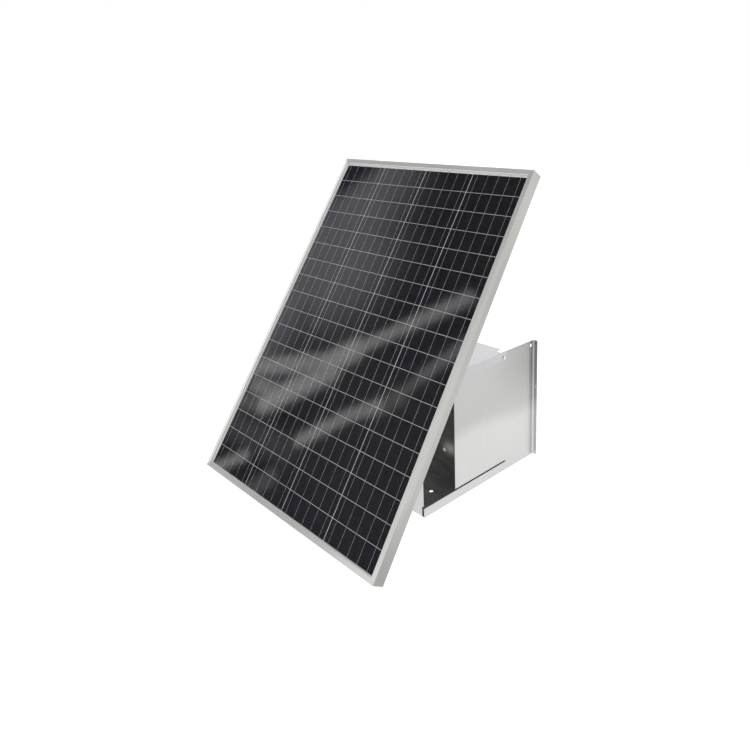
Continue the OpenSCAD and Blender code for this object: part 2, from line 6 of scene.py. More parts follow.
import bmesh
import bpy
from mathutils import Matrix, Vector


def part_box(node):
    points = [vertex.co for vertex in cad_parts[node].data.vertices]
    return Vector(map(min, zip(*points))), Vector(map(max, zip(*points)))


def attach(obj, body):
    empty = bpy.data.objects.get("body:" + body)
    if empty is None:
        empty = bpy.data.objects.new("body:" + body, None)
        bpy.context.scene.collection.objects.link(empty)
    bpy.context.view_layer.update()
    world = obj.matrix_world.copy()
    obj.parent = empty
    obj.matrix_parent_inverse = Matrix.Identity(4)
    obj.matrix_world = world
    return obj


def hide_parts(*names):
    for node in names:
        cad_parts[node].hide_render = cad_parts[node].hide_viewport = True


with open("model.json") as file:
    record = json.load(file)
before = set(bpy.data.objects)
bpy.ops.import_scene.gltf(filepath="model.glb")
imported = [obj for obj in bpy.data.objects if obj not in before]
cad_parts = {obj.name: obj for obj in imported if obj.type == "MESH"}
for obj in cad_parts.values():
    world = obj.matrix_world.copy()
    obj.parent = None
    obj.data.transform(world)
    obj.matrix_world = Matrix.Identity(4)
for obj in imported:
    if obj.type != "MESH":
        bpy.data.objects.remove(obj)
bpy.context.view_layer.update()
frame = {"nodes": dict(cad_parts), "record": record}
NODES = frame["nodes"]
MM = 0.001

# ---- driving dimensions, in millimetres, as in the CAD part ----------------
# the module: its tilt, the foot of its back plane, its frame and what lies in it, counted from the back
TILT = math.radians(56.8)
FOOT_REACH = 215
FOOT_Z = 3
PANEL_W = 670
PANEL_L = 904
PANEL_T = 30
LIP_W = 11
GLASS_TOP = 28.3
RIBBON_Z = 24.66
FILM_FRONT = 24.2
# the cells: pitch across and up the slope, the first row's lower edge, ribbons and printed fingers
CELL_PITCH_X = 160
CELL_PITCH_Y = 48.5
CELL_COLS = 4
CELL_ROWS = 18
CELL_FOOT = 13
CELLS_HALF_W = CELL_COLS * CELL_PITCH_X / 2
CELLS_TOP = CELL_FOOT + CELL_ROWS * CELL_PITCH_Y
RIBBONS = 5
FINGER_PITCH = 1.5
# the housing
HALF_W = 228
WALL_H = 320
SHEET_T = 1.5
PARTITION_Y = 150
# the module's cross rails, its bolts, and the junction box with its cable glands
RAIL_V = (430, 680)
RAIL_END = 16
BRACKET_BOLT_X = 125
FOOT_BOLT_Y = (40, 185)
JUNCTION_V = 820
GLAND_V = JUNCTION_V - 33
GLAND_W = 13
# the battery
BATTERY_COVER_H = 15
POST_R = 7

ORIGIN_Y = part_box("front_plate")[0].y


def at(x, y, z):
    """Point in the housing's own millimetres: x from its middle, y back from its front plate, z up."""
    return Vector((x * MM, y * MM + ORIGIN_Y, z * MM))


def on_panel(u, v, w):
    """Point on the module: u across, v up the slope, w out of its back plane, in millimetres."""
    return at(
        u,
        -FOOT_REACH + v * math.cos(TILT) - w * math.sin(TILT),
        FOOT_Z + v * math.sin(TILT) + w * math.cos(TILT),
    )


PANEL_FOOT = on_panel(0, 0, 0)
PANEL_NORMAL = Vector((0, -math.sin(TILT), math.cos(TILT)))

# ---- camera ----------------------------------------------------------------
EYE = at(1230.8, -938.2, 902.5)


def add_camera():
    """Camera at the viewing angle of the reference view."""
    data = bpy.data.cameras.new("camera")
    data.sensor_width = 36
    data.lens = 32.215
    data.shift_x = -0.1
    data.shift_y = -1 / 6
    data.clip_start = 0.05
    data.clip_end = 60
    camera = bpy.data.objects.new("camera", data)
    camera.location = EYE
    camera.rotation_euler = [math.radians(a) for a in (78.398, 0.821, 43.957)]
    bpy.context.scene.collection.objects.link(camera)
    bpy.context.scene.camera = camera


add_camera()


# ---- node materials --------------------------------------------------------
class Shader:
    """A node material. Each call adds a node and returns its output socket."""

    def __init__(self, name):
        self.material = bpy.data.materials.new(name)
        self.material.use_nodes = True
        self.tree = self.material.node_tree
        self.tree.nodes.clear()
        self.output = self.tree.nodes.new("ShaderNodeOutputMaterial")
        self.object = self.tree.nodes.new("ShaderNodeTexCoord").outputs["Object"]

    def add(self, kind, inputs=None, out=0, **settings):
        node = self.tree.nodes.new("ShaderNode" + kind)
        for key, value in settings.items():
            setattr(node, key, value)
        for key, value in (inputs or {}).items():
            socket = node.inputs[key]
            if isinstance(value, bpy.types.NodeSocket):
                self.tree.links.new(value, socket)
            elif socket.type == "RGBA" and len(value) == 3:
                socket.default_value = (*value, 1)
            else:
                socket.default_value = value
        return node.outputs[out]

    def math(self, operation, a, b=0.0):
        return self.add("Math", {0: a, 1: b}, operation=operation)

    def place(self, vector=None, scale=(1, 1, 1), location=(0, 0, 0), rotation=(0, 0, 0),
              kind="POINT"):
        inputs = {"Vector": vector or self.object, "Location": location,
                  "Rotation": rotation, "Scale": scale}
        return self.add("Mapping", inputs, vector_type=kind)

    def panel(self):
        """Coordinates on the module: x across, y up the slope, z out of its back plane."""
        return self.place(location=PANEL_FOOT, rotation=(TILT, 0, 0), kind="TEXTURE")

    def axis(self, vector, name):
        return self.add("SeparateXYZ", {0: vector}, out=name)

    def noise(self, scale, detail, roughness=0.5, vector=None):
        inputs = {"Vector": vector or self.object, "Scale": scale, "Detail": detail,
                  "Roughness": roughness}
        return self.add("TexNoise", inputs)

    def cells(self, scale, vector=None):
        inputs = {"Vector": vector or self.object, "Scale": scale}
        return self.add("TexVoronoi", inputs, out="Color")

    def remap(self, value, low, high, to_low, to_high, smooth=False):
        return self.add(
            "MapRange", {0: value, 1: low, 2: high, 3: to_low, 4: to_high},
            interpolation_type="SMOOTHSTEP" if smooth else "LINEAR", clamp=True)

    def vary(self, noise, to_low, to_high):
        """The middle of a noise's range, stretched between two values."""
        return self.remap(noise, 0.3, 0.7, to_low, to_high)

    def mix(self, factor, a, b, blend="MIX"):
        node = self.tree.nodes.new("ShaderNodeMix")
        node.data_type = "RGBA"
        node.blend_type = blend
        for index, value in ((0, factor), (6, a), (7, b)):
            if isinstance(value, bpy.types.NodeSocket):
                self.tree.links.new(value, node.inputs[index])
            elif index and len(value) == 3:
                node.inputs[index].default_value = (*value, 1)
            else:
                node.inputs[index].default_value = value
        return node.outputs[2]

    def tint(self, colour, value):
        """The colour made lighter or darker by a value round 1."""
        return self.mix(1.0, colour, self.add("CombineXYZ", {0: value, 1: value, 2: value}), "MULTIPLY")

    def bump(self, height, distance, strength):
        return self.add("Bump", {"Height": height, "Distance": distance, "Strength": strength})

    def surface(self, **inputs):
        """Principled surface; the material is done."""
        names = {key.replace("_", " ").title().replace("Ior", "IOR"): value
                 for key, value in inputs.items()}
        shader = self.add("BsdfPrincipled", names)
        return self.close(shader)

    def close(self, shader):
        self.tree.links.new(shader, self.output.inputs["Surface"])
        return self.material


def zinc(name, tone, shaded_faces=None, dull=0.55, shade=None, spill=None):
    """Galvanised sheet: faint spangle, rolling streaks and soft clouds. The mask in the third argument
    marks faces in the front bay that are painted darker, to the tone after it, as painted shade; shade is
    painted light and shade over the sheet, and spill a painted spot of stray light on it."""
    s = Shader(name)
    spangle = s.axis(s.cells(85), 0)
    rolled = s.noise(1.0, 3, vector=s.place(scale=(150, 150, 9)))
    cloud = s.noise(5.5, 3, 0.55)
    value = s.math("ADD", s.remap(spangle, 0, 1, 0.99, 1.01), s.vary(cloud, -0.025, 0.025))
    value = s.math("ADD", value, s.vary(rolled, -0.008, 0.008))
    if shade is not None:
        value = s.math("MULTIPLY", value, shade(s))
    colour = s.tint(tone, value)
    rough = s.math("ADD", s.vary(cloud, 0.31, 0.38), s.remap(spangle, 0, 1, -0.02, 0.02))
    metallic = 0.9
    if shaded_faces is not None:
        # painted shade: the masked faces in the front bay are darkened as if in shadow
        mask = shaded_faces(s)
        drawn = s.noise(1.0, 3, 0.6, vector=s.place(scale=(9, 140, 60)))
        colour = s.mix(mask, colour, s.tint((dull, dull, dull * 0.99), s.vary(drawn, 0.78, 1.22)))
        metallic = s.remap(mask, 0, 1, 0.9, 0.85)
        rough = s.math("SUBTRACT", rough, s.math("MULTIPLY", mask, 0.1))
    height = s.math("ADD", rolled, s.math("MULTIPLY", spangle, 0.6))
    stray = {} if spill is None else {"emission_color": spill(s), "emission_strength": 1.0}
    return s.surface(base_color=colour, metallic=metallic, roughness=rough,
                     normal=s.bump(height, 0.00003, 0.2), **stray)


def housing_shade(s):
    """Painted light and shade: a bright lower half and a darker upper rear corner on the walls, with a
    soft uneven edge between them, and a floor painted lighter."""
    uneven = s.vary(s.noise(3.2, 1), -20 * MM, 20 * MM)
    height = s.math("ADD", s.axis(s.object, 2), uneven)
    depth = s.math("SUBTRACT", s.axis(s.object, 1), ORIGIN_Y)
    upper = s.remap(height, 125 * MM, 175 * MM, 1.0, 0.80, True)
    corner = s.math("MULTIPLY", s.remap(depth, 200 * MM, 385 * MM, 0, 1, True),
                    s.remap(height, 150 * MM, 270 * MM, 0, 1, True))
    walls = s.math("MULTIPLY", upper, s.remap(corner, 0, 1, 1.0, 0.76))
    from_middle = s.math("ABSOLUTE", s.axis(s.object, 0))
    floor = s.math("MULTIPLY", s.math("LESS_THAN", s.axis(s.object, 2), 2 * SHEET_T * MM),
                   s.math("LESS_THAN", from_middle, (HALF_W - 2 * SHEET_T) * MM))
    return s.math("MULTIPLY", walls, s.remap(floor, 0, 1, 1.0, 1.55))


def lid_shade(s):
    """Painted shade: the lid's turned-down edges are darker than its top, to match the walls below them.
    """
    plate = WALL_H + SHEET_T
    return s.remap(s.axis(s.object, 2), (plate - 0.1) * MM, (plate + 0.1) * MM, 0.72, 1.0)


def inside_front_bay(s):
    """1 on the inner faces in front of the partition, which are painted darker as shade."""
    between = s.math("LESS_THAN", s.math("ABSOLUTE", s.axis(s.object, 0)), (HALF_W - SHEET_T + 0.15) * MM)
    above = s.math("GREATER_THAN", s.axis(s.object, 2), (SHEET_T - 0.3) * MM)
    ahead = s.math("LESS_THAN", s.axis(s.object, 1), ORIGIN_Y + (PARTITION_Y + 0.5) * MM)
    return s.math("MULTIPLY", s.math("MULTIPLY", between, above), ahead)


def behind_front(s):
    """1 on the front plate's inner face, which is painted darker as shade."""
    return s.math("GREATER_THAN", s.axis(s.object, 1), ORIGIN_Y + (SHEET_T - 0.2) * MM)


def partition_front(s):
    """1 on the partition's front face, which is painted darker as shade."""
    return s.math("LESS_THAN", s.axis(s.object, 1), ORIGIN_Y + (PARTITION_Y + 0.5) * MM)


def hole_spill(s):
    """Soft spot of stray light on the partition's front, beside its hole."""
    middle_x, reach_x = 166, 21
    middle_z, reach_z = 91, 15
    across = s.math("DIVIDE", s.math("SUBTRACT", s.axis(s.object, 0), middle_x * MM), reach_x * MM)
    up = s.math("DIVIDE", s.math("SUBTRACT", s.axis(s.object, 2), middle_z * MM), reach_z * MM)
    away = s.math("ADD", s.math("MULTIPLY", across, across), s.math("MULTIPLY", up, up))
    spot = s.math("MULTIPLY", s.math("POWER", 0.37, away), partition_front(s))
    return s.tint((0.15, 0.15, 0.147), spot)


def rail_tone(s, panel):
    """Tone round 1 over the module's rails: the soft bands that broad lights leave along them."""
    u, v, w = (s.axis(panel, k) for k in range(3))

    def band(value, low, high, to_low, to_high):
        return s.remap(value, low * MM, high * MM, to_low, to_high, True)

    def either(test, off, on):
        return s.remap(test, 0, 1, off, on)

    side = s.math("ADD", band(v, 10, 200, 0.74, 1.11),
                  s.math("ADD", band(v, 345, 640, 0, -0.12), band(v, 700, 840, 0, 0.10)))
    hollow = s.math("MULTIPLY", band(w, 13, 20, 0.1, 0),
                    s.math("SUBTRACT", band(v, 80, 150, 0, 1), band(v, 660, 740, 0, 1)))
    side = s.math("MULTIPLY", side, s.math("SUBTRACT", 1.0, hollow))
    lower = band(u, 60, PANEL_W / 2, 1.0, 1.5)
    upper_half = s.math("GREATER_THAN", v, PANEL_L / 2 * MM)
    from_side = s.math("SUBTRACT", PANEL_W / 2 * MM, s.math("ABSOLUTE", u))
    from_end = s.math("MINIMUM", v, s.math("SUBTRACT", PANEL_L * MM, v))
    side_lip = either(s.math("GREATER_THAN", u, 0), 1.72, s.remap(v, 0, PANEL_L * MM, 1.5, 0.82))
    lip = either(s.math("LESS_THAN", from_side, from_end), either(upper_half, lower, 0.92), side_lip)
    edge = either(s.math("LESS_THAN", from_side, 0.2 * MM), either(upper_half, lower, 1.0), side)
    return either(s.math("GREATER_THAN", w, (PANEL_T - 0.5) * MM), edge, lip)


def anodised(name):
    """Anodised rails: fine lines along and across, faint clouds and the soft bands of rail_tone."""
    s = Shader(name)
    panel = s.panel()
    grain = s.noise(1.0, 2, vector=s.place(panel, scale=(700, 8, 700)))
    across = s.noise(1.0, 2, vector=s.place(panel, scale=(8, 700, 700)))
    cloud = s.noise(9, 2)
    value = s.math("ADD", s.vary(grain, 0.97, 1.03), s.vary(cloud, -0.03, 0.03))
    colour = s.tint((0.435, 0.435, 0.42), s.math("MULTIPLY", value, rail_tone(s, panel)))
    height = s.math("ADD", grain, across)
    return s.surface(base_color=colour, metallic=0.55, roughness=s.vary(cloud, 0.4, 0.5),
                     normal=s.bump(height, 0.00003, 0.3))


def metal(name, colour, roughness):
    """Machined or plated metal with a fine grain and faint clouds."""
    s = Shader(name)
    fine = s.noise(900, 3)
    cloud = s.noise(60, 2)
    tone = s.tint(colour, s.vary(cloud, 0.88, 1.08))
    return s.surface(base_color=tone, metallic=1.0,
                     roughness=s.vary(fine, roughness - 0.07, roughness + 0.1),
                     normal=s.bump(fine, 0.00003, 0.3))


def plastic(name, colour, roughness, grain=2600, depth=0.00005, coat=0.0):
    """Moulded plastic with a fine eroded texture."""
    s = Shader(name)
    fine = s.noise(grain, 2)
    cloud = s.noise(25, 3)
    tone = s.tint(colour, s.vary(cloud, 0.93, 1.07))
    return s.surface(base_color=tone, roughness=s.vary(fine, roughness - 0.06, roughness + 0.06),
                     normal=s.bump(fine, depth, 0.5), coat_weight=coat, coat_roughness=0.15)


# the front glass mirrors through the coat of what lies under it, so its pane stays clear
GLASS_SHINE = {"coat_weight": 1.0, "coat_roughness": 0.05}


def silicon(name):
    """Cut polycrystalline cells: each its own tone, faint crystals and fine printed fingers."""
    s = Shader(name)
    panel = s.panel()
    u = s.math("DIVIDE", s.math("ADD", s.axis(panel, 0), CELLS_HALF_W * MM), CELL_PITCH_X * MM)
    v = s.math("DIVIDE", s.math("SUBTRACT", s.axis(panel, 1), CELL_FOOT * MM), CELL_PITCH_Y * MM)
    index = s.add("CombineXYZ", {0: s.math("FLOOR", u), 1: s.math("FLOOR", v)})
    own = s.add("TexWhiteNoise", {"Vector": index}, out="Value", noise_dimensions="2D")
    crystal = s.axis(s.cells(140, s.place(panel, scale=(1, 0.55, 1))), 1)
    cool = s.mix(own, (0.0082, 0.0080, 0.0128), (0.0105, 0.0094, 0.0115))
    colour = s.tint(cool, s.remap(crystal, 0, 1, 0.8, 1.2))
    finger = s.math("FRACT", s.math("DIVIDE", s.axis(panel, 1), FINGER_PITCH * MM))
    printed = s.math("LESS_THAN", finger, 0.05)
    colour = s.mix(s.math("MULTIPLY", printed, 0.15), colour, (0.30, 0.30, 0.32))
    return s.surface(base_color=colour, roughness=0.5, specular_ior_level=0.0, **GLASS_SHINE)


def ribbon(name):
    """Tinned ribbon, lighter and darker along its length."""
    s = Shader(name)
    wave = s.noise(1.0, 2, vector=s.place(s.panel(), scale=(50, 120, 50)))
    colour = s.tint((0.345, 0.345, 0.36), s.vary(wave, 0.75, 1.25))
    return s.surface(base_color=colour, metallic=0.5, roughness=0.28, **GLASS_SHINE)


def white_film(name):
    """White backing film; between the cells it lies in their shade, and under the frame's lips it glows
    with painted light.
    """
    s = Shader(name)
    weave = s.noise(1500, 2)
    cloud = s.noise(12, 3)
    panel = s.panel()
    field = s.math("MULTIPLY",
                   s.math("LESS_THAN", s.math("ABSOLUTE", s.axis(panel, 0)), (CELLS_HALF_W - 1) * MM),
                   s.math("LESS_THAN", s.axis(panel, 1), CELLS_TOP * MM))
    front = s.math("GREATER_THAN", s.axis(panel, 2), FILM_FRONT * MM)
    margin = s.mix(front, (0.78, 0.78, 0.77), (0.66, 0.66, 0.65))
    from_column = s.math("PINGPONG", s.axis(panel, 0), CELL_PITCH_X / 2 * MM)
    gap = s.mix(s.math("LESS_THAN", from_column, MM), (0.46, 0.46, 0.47), (0.60, 0.60, 0.61))
    white = s.mix(s.math("MULTIPLY", field, front), margin, gap)
    colour = s.tint(white, s.vary(cloud, 0.97, 1.03))
    across = s.math("ABSOLUTE", s.axis(panel, 0))
    along = s.math("ABSOLUTE", s.math("SUBTRACT", s.axis(panel, 1), PANEL_L / 2 * MM))
    rim = s.math("MAXIMUM",
                 s.math("GREATER_THAN", across, (PANEL_W / 2 - LIP_W) * MM),
                 s.math("GREATER_THAN", along, (PANEL_L / 2 - LIP_W) * MM))
    # painted light: the film's face under the frame's lips glows to lift the shade there
    painted_light_under_lip = s.mix(s.math("MULTIPLY", rim, front), (0, 0, 0), (0.36, 0.36, 0.35))
    return s.surface(base_color=colour, roughness=s.vary(weave, 0.45, 0.6),
                     normal=s.bump(weave, 0.00004, 0.4), emission_color=painted_light_under_lip, emission_strength=1.0)


def pane(name):
    """Clear solar glass with a slight green cast that varies in soft clouds."""
    s = Shader(name)
    haze = s.noise(9, 3, 0.6)
    return s.close(s.add("BsdfTransparent", {
        "Color": s.mix(s.vary(haze, 0, 1), (0.972, 0.975, 0.972), (0.985, 0.987, 0.985))}))


SLOTS = {
    "zinc_sheet": zinc("zinc_sheet", (0.58, 0.58, 0.575)),
    # painted shade on the partition's front face, and a painted spot of light beside its hole
    "zinc_inner": zinc("zinc_inner", (0.5, 0.5, 0.5), partition_front, 0.46, spill=hole_spill),
    "anodised": anodised("anodised"),
    "zinc_fastener": metal("zinc_fastener", (0.66, 0.66, 0.64), 0.32),
    "solar_glass": pane("solar_glass"),
    "silicon": silicon("silicon"),
    "silver_ribbon": ribbon("silver_ribbon"),
    "white_sheet": white_film("white_sheet"),
    "black_plastic": plastic("black_plastic", (0.018, 0.018, 0.019), 0.5),
    "grey_plastic": plastic("grey_plastic", (0.055, 0.058, 0.062), 0.5),
    "cover_yellow": plastic("cover_yellow", (0.75, 0.42, 0.015), 0.38, coat=0.15),
    "red_plastic": plastic("red_plastic", (0.48, 0.012, 0.012), 0.35, coat=0.2),
    "green_plastic": plastic("green_plastic", (0.012, 0.20, 0.055), 0.35, coat=0.2),
    "blue_plastic": plastic("blue_plastic", (0.02, 0.075, 0.22), 0.42),
    "light_button": plastic("light_button", (0.55, 0.56, 0.56), 0.4),
    "gasket_rubber": plastic("gasket_rubber", (0.012, 0.012, 0.012), 0.75, 700),
    "brass_metal": metal("brass_metal", (0.78, 0.55, 0.22), 0.25),
    "copper_metal": metal("copper_metal", (0.72, 0.34, 0.18), 0.3),
    "ferrite": plastic("ferrite", (0.03, 0.03, 0.034), 0.6, 500, 0.0001),
    "board_green": plastic("board_green", (0.01, 0.12, 0.045), 0.35, 200),
    "lead_metal": metal("lead_metal", (0.22, 0.22, 0.235), 0.5),
    "display_glass": plastic("display_glass", (0.22, 0.30, 0.20), 0.2, 100, coat=1.0),
    "red_sheath": plastic("red_sheath", (0.42, 0.012, 0.012), 0.45, 400),
    "black_sheath": plastic("black_sheath", (0.014, 0.014, 0.015), 0.45, 400),
}
OWN_LOOK = {
    # painted light and shade on the housing's walls and floor, painted shade in its front bay, on the
    # front plate's inner face and the lid's edges
    "housing_shell": zinc("zinc_housing", (0.60, 0.60, 0.595), inside_front_bay, 0.62, housing_shade),
    "front_plate": zinc("zinc_front", (0.62, 0.62, 0.615), behind_front),
    "lid": zinc("zinc_lid", (0.68, 0.675, 0.695), shade=lid_shade),
}


def dress(node, material):
    """Gives a CAD node its material."""
    mesh = NODES[node].data
    mesh.materials.clear()
    mesh.materials.append(material)


SLOT_OF = {row["node"]: row["material_slot"] for row in frame["record"]["subparts"]}
BODY_OF = {node: body for body, nodes in frame["record"]["behaviour"]["bodies"].items() for node in nodes}
for part, slot_name in SLOT_OF.items():
    dress(part, OWN_LOOK.get(part, SLOTS[slot_name]))


# ---- pieces: shapes ---------------------------------------------------------
def add_object(name, mesh):
    thing = bpy.data.objects.new(name, mesh)
    bpy.context.scene.collection.objects.link(thing)
    return thing


def add_mesh(name, vertices, faces, material):
    mesh = bpy.data.meshes.new(name)
    mesh.from_pydata([tuple(v) for v in vertices], [], faces)
    mesh.update()
    mesh.materials.append(material)
    return add_object(name, mesh)


def piece_from(bm, name, body, slot_name, width, material=None):
    """Rounds the sharp outer edges by a width in millimetres, and makes the piece."""
    bmesh.ops.recalc_face_normals(bm, faces=bm.faces)
    edges = [e for e in bm.edges
             if e.is_manifold and e.is_convex and e.calc_face_angle() > math.radians(35)]
    if width and edges:
        bmesh.ops.bevel(bm, geom=edges, offset=width * MM, offset_type="OFFSET", segments=2,
                        profile=0.5, affect="EDGES", clamp_overlap=True)
    for face in bm.faces:
        face.smooth = True
    mesh = bpy.data.meshes.new(name)
    bm.to_mesh(mesh)
    bm.free()
    mesh.set_sharp_from_angle(angle=math.radians(50))
    mesh.materials.append(material or SLOTS[slot_name])
    piece = add_object(name, mesh)
    weighted = piece.modifiers.new("even", "WEIGHTED_NORMAL")
    weighted.keep_sharp = True
    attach(piece, body)
    return piece


def round_node(node, width):
    """A copy of a CAD node with rounded edges, which stands for it."""
    bm = bmesh.new()
    bm.from_mesh(NODES[node].data)
    bmesh.ops.remove_doubles(bm, verts=bm.verts, dist=1e-6)
    bmesh.ops.dissolve_limit(bm, angle_limit=math.radians(0.5), verts=bm.verts, edges=bm.edges)
    piece = piece_from(bm, "rounded_" + node, BODY_OF[node], SLOT_OF[node], width, OWN_LOOK.get(node))
    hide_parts(node)


def local_box(node):
    """Lowest and highest corner of a CAD node in the housing's own millimetres."""
    return [Vector((c.x / MM, (c.y - ORIGIN_Y) / MM, c.z / MM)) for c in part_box(node)]


def circle(r, a=0.0, b=0.0, sides=48):
    """Outline of a circle round (a, b)."""
    turns = [2 * math.pi * k / sides for k in range(sides)]
    return [(a + r * math.cos(t), b + r * math.sin(t)) for t in turns]


def round_rect(w, h, r, a=0.0, b=0.0):
    """Outline of a rounded rectangle round (a, b)."""
    points = []
    steps = 6
    for quarter, (sx, sy) in enumerate(((1, 1), (-1, 1), (-1, -1), (1, -1))):
        for k in range(steps + 1):
            t = math.pi / 2 * (quarter + k / steps)
            points.append((a + sx * (w / 2 - r) + r * math.cos(t), b + sy * (h / 2 - r) + r * math.sin(t)))
    return points


def prism(bm, outline, low, high, place):
    """Solid between two heights over an outline."""
    bottom = [bm.verts.new(place(a, b, low)) for a, b in outline]
    top = [bm.verts.new(place(a, b, high)) for a, b in outline]
    bm.faces.new(bottom)
    bm.faces.new(top)
    for k in range(len(outline)):
        n = (k + 1) % len(outline)
        bm.faces.new((bottom[k], bottom[n], top[n], top[k]))


def frame_ring(bm, outer, inner, low, high, place):
    """Solid between two outlines with the same number of points."""
    loops = [[bm.verts.new(place(a, b, h)) for a, b in outline]
             for outline, h in ((outer, low), (outer, high), (inner, high), (inner, low))]
    for k in range(len(outer)):
        n = (k + 1) % len(outer)
        for i in range(4):
            one, two = loops[i], loops[(i + 1) % 4]
            bm.faces.new((one[k], one[n], two[n], two[k]))


def lathe(bm, profile, place, a=0.0, b=0.0, sides=32):
    """Solid of revolution through (radius, height) points that start and end on the axis."""
    first = bm.verts.new(place(a, b, profile[0][1]))
    last = bm.verts.new(place(a, b, profile[-1][1]))
    rings = [[bm.verts.new(place(x, y, h)) for x, y in circle(r, a, b, sides)] for r, h in profile[1:-1]]
    for k in range(sides):
        n = (k + 1) % sides
        bm.faces.new((first, rings[0][k], rings[0][n]))
        bm.faces.new((last, rings[-1][n], rings[-1][k]))
        for one, two in zip(rings, rings[1:]):
            bm.faces.new((one[k], two[k], two[n], one[n]))


# ---- pieces: CAD nodes with rounded edges -----------------------------------
ROUNDING = {
    "housing_shell": 0.35, "front_plate": 0.35, "partition": 0.35, "lid": 0.4,
    "rail_upper": 0.35, "rail_lower": 0.35,
    "frame_left": 0.35, "frame_right": 0.35, "frame_top": 0.35, "frame_bottom": 0.35,
    "hinge_pins": 0.5, "pin_retainers": 0.4, "sheet_rivets": 0.3,
    "lid_bolts": 0.5, "lid_nuts": 0.5, "rail_bolts": 0.5, "rail_nuts": 0.5,
    "energizer_shell": 1.2, "energizer_cover": 1.8, "energizer_screws": 0.4,
    "selector_knob": 0.6, "fence_knob": 0.7, "earth_knob": 0.7, "status_lens": 0.9,
    "terminal_studs": 0.4, "controller_base": 0.8, "controller_cover": 1.2,
    "button_left": 0.6, "button_right": 0.6, "terminal_block": 0.5,
    "battery_tray": 0.3, "battery_case": 1.0, "battery_cover": 1.5, "battery_posts": 0.5,
    "battery_lugs": 0.3, "battery_bolts": 0.5, "battery_handle": 1.5,
    "junction_box": 0.8, "junction_lid": 0.7, "cable_glands": 0.4,
}
for part, rounding in ROUNDING.items():
    round_node(part, rounding)


# ---- pieces: details --------------------------------------------------------
def add_energizer_details():
    """Ribs, dial, digits and pointer on the cover, and backing rings under the clamp knobs."""
    low, high = local_box("energizer_cover")
    ux, uz, face = (low.x + high.x) / 2, (low.z + high.z) / 2, high.y
    knob_low, knob_high = local_box("selector_knob")
    dial = (knob_low.z + knob_high.z) / 2 - uz

    def place(a, b, h):
        return at(ux - a, face + h, uz + b)

    bm = bmesh.new()
    frame_ring(bm, round_rect(170, 180, 9), round_rect(165, 175, 7), -0.3, 0.9, place)
    for b in (68, 73, 78):
        prism(bm, round_rect(112, 2.4, 1.1, 0, b), -0.3, 1.1, place)
    piece_from(bm, "cover_ribs", "housing", "cover_yellow", 0.3)

    dial_r, dial_hole_r = 32, 18.4
    bm = bmesh.new()
    frame_ring(bm, circle(dial_r, 0, dial, 64), circle(dial_hole_r, 0, dial, 64), -0.3, 0.8, place)
    piece_from(bm, "dial_plate", "housing", "black_plastic", 0.25)

    tick_start, tick_end, digit_r = 19.6, 23.2, 27.6
    bm = bmesh.new()
    for step in range(6):
        turn = math.radians(30 * step)
        across, along = math.cos(turn), math.sin(turn)

        def mark(a, b, h, across=across, along=along):
            return place(a * across + b * along, dial - a * along + b * across, h)

        tick = [(-0.6, tick_start), (0.6, tick_start), (0.6, tick_end), (-0.6, tick_end)]
        prism(bm, tick, 0.7, 1.0, mark)
        digit = bpy.data.curves.new("digit", "FONT")
        digit.body = str(step + 1)
        digit.size = 5.6
        digit.extrude = 0.14
        digit.align_x = digit.align_y = "CENTER"
        digit.resolution_u = 3
        letter = bpy.data.objects.new("digit", digit)
        outline = bpy.data.meshes.new_from_object(letter)
        start = len(bm.verts)
        bm.from_mesh(outline)
        bm.verts.ensure_lookup_table()
        for vertex in bm.verts[start:]:
            vertex.co = place(vertex.co.x + digit_r * along, vertex.co.y + dial + digit_r * across,
                              0.86 + vertex.co.z)
        bpy.data.objects.remove(letter)
        bpy.data.meshes.remove(outline)
    bmesh.ops.remove_doubles(bm, verts=bm.verts, dist=1e-6)
    piece_from(bm, "dial_marks", "housing", "light_button", 0)

    bm = bmesh.new()
    prism(bm, round_rect(1.6, 9, 0.7, 0, dial + 7.5), 13.8, 14.4, place)
    piece_from(bm, "knob_pointer", "selector_knob_body", "light_button", 0.15)

    for name, node, slot_name in (("fence_backing", "fence_knob", "red_plastic"),
                                  ("earth_backing", "earth_knob", "green_plastic")):
        box_low, box_high = local_box(node)
        a = ux - (box_low.x + box_high.x) / 2
        b = (box_low.z + box_high.z) / 2 - uz
        bm = bmesh.new()
        frame_ring(bm, circle(15, a, b), circle(6.8, a, b), -0.3, 1.4, place)
        frame_ring(bm, circle(14, a, b), circle(11.5, a, b), 1.2, 2.0, place)
        piece_from(bm, name, "housing", slot_name, 0.4)


def add_controller_details():
    """Bezels, side ribs and the display's bars."""
    low, high = local_box("controller_cover")
    cx, cz, face = (low.x + high.x) / 2, (low.z + high.z) / 2, high.y
    window = 12

    def place(a, b, h):
        return at(cx - a, face + h, cz + b)

    bm = bmesh.new()
    frame_ring(bm, round_rect(69, 43, 4, 0, window), round_rect(60.2, 34.2, 1.5, 0, window),
               -0.4, 1.3, place)
    for name in ("button_left", "button_right"):
        box_low, box_high = local_box(name)
        a = cx - (box_low.x + box_high.x) / 2
        b = (box_low.z + box_high.z) / 2 - cz
        frame_ring(bm, circle(9, a, b), circle(6, a, b), -0.3, 0.8, place)
    piece_from(bm, "controller_bezels", "housing", "black_plastic", 0.4)

    bm = bmesh.new()
    for side in (-1, 1):
        for k in range(5):
            prism(bm, round_rect(2.2, 74, 1, side * (40 + 4.6 * k), 0), -0.4, 1.1, place)
    piece_from(bm, "controller_ribs", "housing", "blue_plastic", 0.35)

    bm = bmesh.new()
    frame_ring(bm, round_rect(14, 22, 1, -18, window), round_rect(12, 20, 0.6, -18, window),
               -0.2, 0.05, place)
    for k in range(4):
        prism(bm, round_rect(9, 3.2, 0.4, -18, window - 7 + 4.6 * k), -0.2, 0.05, place)
    for k in range(6):
        prism(bm, round_rect(3.4, 3 + 2.2 * k, 0.4, 5 * k, window - 9 + 1.1 * k), -0.2, 0.05, place)
    piece_from(bm, "display_bars", "housing", "black_plastic", 0)


